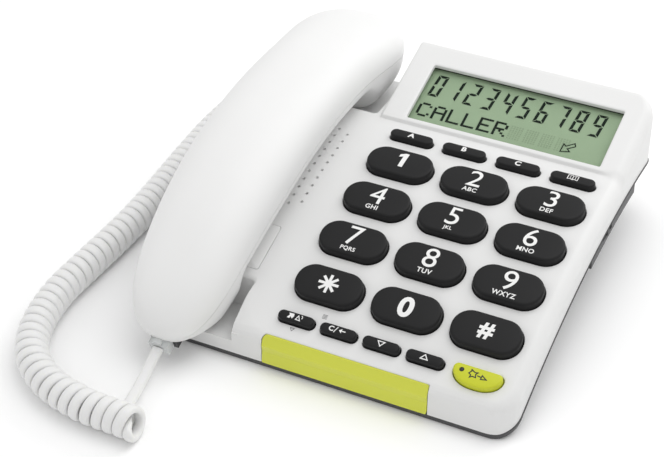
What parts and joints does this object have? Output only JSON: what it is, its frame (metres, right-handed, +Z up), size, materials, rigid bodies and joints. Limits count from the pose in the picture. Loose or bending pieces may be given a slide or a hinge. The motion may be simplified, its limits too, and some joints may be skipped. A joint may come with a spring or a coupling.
{
  "type": "corded desk telephone",
  "caption": "Desk telephone with large oval keys on an arched face, a tilted display, a light bar, and a handset in its cradle on a curly cord.",
  "frame": {"origin": "on the table, under the middle of the box round the base and the resting handset, the cord left out", "axes": "+X to the right as the user sees it, +Y to the back of the phone, +Z up"},
  "size_m": [0.192, 0.2528, 0.0678],
  "materials": {
    "housing_white": "satin",
    "case_grey": "satin",
    "window_clear": "clear, glossy",
    "lcd_green": "satin",
    "black_plastic": "satin",
    "mat_silicone": "matte",
    "board_green": "satin",
    "lime_plastic": "satin",
    "lime_clear": "translucent, glossy",
    "speaker_metal": "satin",
    "cell_metal": "gloss",
    "spring_steel": "bright",
    "foot_rubber": "matte",
    "screw_steel": "bright",
    "plug_clear": "clear",
    "cord_white": "satin",
    "key_black": "satin"
  },
  "bodies": {
    "base": {"upper_housing": "housing_white", "lower_housing": "case_grey", "display_window": "window_clear", "lcd_panel": "lcd_green", "lcd_holder": "black_plastic", "key_mat": "mat_silicone", "main_board": "board_green", "ringer_bar": "lime_clear", "ringer_leds": "board_green", "loudspeaker": "speaker_metal", "hook_switch": "black_plastic", "index_cover": "housing_white", "line_jack": "black_plastic", "base_cord_jack": "black_plastic", "batteries": "cell_metal", "battery_contacts": "spring_steel", "rubber_feet": "foot_rubber", "base_screws": "screw_steel", "base_plug": "plug_clear", "handset_tail": "cord_white", "curly_cord": "cord_white", "base_tail": "cord_white"},
    "key_1_body": {"key_1": "key_black"},
    "key_2_body": {"key_2": "key_black"},
    "key_3_body": {"key_3": "key_black"},
    "key_4_body": {"key_4": "key_black"},
    "key_5_body": {"key_5": "key_black"},
    "key_6_body": {"key_6": "key_black"},
    "key_7_body": {"key_7": "key_black"},
    "key_8_body": {"key_8": "key_black"},
    "key_9_body": {"key_9": "key_black"},
    "key_star_body": {"key_star": "key_black"},
    "key_0_body": {"key_0": "key_black"},
    "key_hash_body": {"key_hash": "key_black"},
    "key_a_body": {"key_a": "key_black"},
    "key_b_body": {"key_b": "key_black"},
    "key_c_body": {"key_c": "key_black"},
    "key_book_body": {"key_book": "key_black"},
    "key_recall_body": {"key_recall": "key_black"},
    "key_clear_body": {"key_clear": "key_black"},
    "key_down_body": {"key_down": "key_black"},
    "key_up_body": {"key_up": "key_black"},
    "boost_key_body": {"boost_key": "lime_plastic", "boost_lamp": "black_plastic"},
    "handset": {"handset_upper_shell": "housing_white", "handset_lower_shell": "housing_white", "earpiece": "black_plastic", "microphone": "speaker_metal", "handset_weight": "speaker_metal", "handset_jack": "black_plastic", "handset_screws": "screw_steel", "handset_plug": "plug_clear"},
    "hook_plunger_body": {"hook_plunger": "housing_white"},
    "ringer_slide_body": {"ringer_slide": "black_plastic"},
    "battery_door_body": {"battery_door": "case_grey"}
  },
  "joints": [
    {"name": "key_1_press", "type": "slide", "parent": "base", "child": "key_1_body", "axis": [0, 0.1167, -0.9932], "range_m": [0, 0.0015], "stiffness_N_per_m": 350},
    {"name": "key_2_press", "type": "slide", "parent": "base", "child": "key_2_body", "axis": [0, 0.1167, -0.9932], "range_m": [0, 0.0015], "stiffness_N_per_m": 350},
    {"name": "key_3_press", "type": "slide", "parent": "base", "child": "key_3_body", "axis": [0, 0.1167, -0.9932], "range_m": [0, 0.0015], "stiffness_N_per_m": 350},
    {"name": "key_4_press", "type": "slide", "parent": "base", "child": "key_4_body", "axis": [0, 0.1891, -0.982], "range_m": [0, 0.0015], "stiffness_N_per_m": 350},
    {"name": "key_5_press", "type": "slide", "parent": "base", "child": "key_5_body", "axis": [0, 0.1891, -0.982], "range_m": [0, 0.0015], "stiffness_N_per_m": 350},
    {"name": "key_6_press", "type": "slide", "parent": "base", "child": "key_6_body", "axis": [0, 0.1891, -0.982], "range_m": [0, 0.0015], "stiffness_N_per_m": 350},
    {"name": "key_7_press", "type": "slide", "parent": "base", "child": "key_7_body", "axis": [0, 0.2605, -0.9655], "range_m": [0, 0.0015], "stiffness_N_per_m": 350},
    {"name": "key_8_press", "type": "slide", "parent": "base", "child": "key_8_body", "axis": [0, 0.2605, -0.9655], "range_m": [0, 0.0015], "stiffness_N_per_m": 350},
    {"name": "key_9_press", "type": "slide", "parent": "base", "child": "key_9_body", "axis": [0, 0.2605, -0.9655], "range_m": [0, 0.0015], "stiffness_N_per_m": 350},
    {"name": "key_star_press", "type": "slide", "parent": "base", "child": "key_star_body", "axis": [0, 0.3305, -0.9438], "range_m": [0, 0.0015], "stiffness_N_per_m": 350},
    {"name": "key_0_press", "type": "slide", "parent": "base", "child": "key_0_body", "axis": [0, 0.3305, -0.9438], "range_m": [0, 0.0015], "stiffness_N_per_m": 350},
    {"name": "key_hash_press", "type": "slide", "parent": "base", "child": "key_hash_body", "axis": [0, 0.3305, -0.9438], "range_m": [0, 0.0015], "stiffness_N_per_m": 350},
    {"name": "key_a_press", "type": "slide", "parent": "base", "child": "key_a_body", "axis": [0, 0.0586, -0.9983], "range_m": [0, 0.0015], "stiffness_N_per_m": 350},
    {"name": "key_b_press", "type": "slide", "parent": "base", "child": "key_b_body", "axis": [0, 0.0586, -0.9983], "range_m": [0, 0.0015], "stiffness_N_per_m": 350},
    {"name": "key_c_press", "type": "slide", "parent": "base", "child": "key_c_body", "axis": [0, 0.0586, -0.9983], "range_m": [0, 0.0015], "stiffness_N_per_m": 350},
    {"name": "key_book_press", "type": "slide", "parent": "base", "child": "key_book_body", "axis": [0, 0.0586, -0.9983], "range_m": [0, 0.0015], "stiffness_N_per_m": 350},
    {"name": "key_recall_press", "type": "slide", "parent": "base", "child": "key_recall_body", "axis": [0, 0.3824, -0.924], "range_m": [0, 0.0015], "stiffness_N_per_m": 350},
    {"name": "key_clear_press", "type": "slide", "parent": "base", "child": "key_clear_body", "axis": [0, 0.3824, -0.924], "range_m": [0, 0.0015], "stiffness_N_per_m": 350},
    {"name": "key_down_press", "type": "slide", "parent": "base", "child": "key_down_body", "axis": [0, 0.3824, -0.924], "range_m": [0, 0.0015], "stiffness_N_per_m": 350},
    {"name": "key_up_press", "type": "slide", "parent": "base", "child": "key_up_body", "axis": [0, 0.3824, -0.924], "range_m": [0, 0.0015], "stiffness_N_per_m": 350},
    {"name": "boost_key_press", "type": "slide", "parent": "base", "child": "boost_key_body", "axis": [0, 0.3749, -0.9271], "range_m": [0, 0.0015], "stiffness_N_per_m": 350},
    {"name": "handset_lift", "type": "slide", "parent": "base", "child": "handset", "axis": [0, 0, 1], "range_m": [0, 0.12]},
    {"name": "hook_travel", "type": "slide", "parent": "base", "child": "hook_plunger_body", "axis": [0, 0, 1], "range_m": [0, 0.004]},
    {"name": "ringer_volume_slide", "type": "slide", "parent": "base", "child": "ringer_slide_body", "axis": [0, 1, 0], "range_m": [-0.002, 0.002]},
    {"name": "battery_door_slide", "type": "slide", "parent": "base", "child": "battery_door_body", "axis": [0, -1, 0], "range_m": [0, 0.01]}
  ],
  "couplings": [
    {"joint": "hook_travel", "follows": "handset_lift", "ratio": 0.033332}
  ]
}
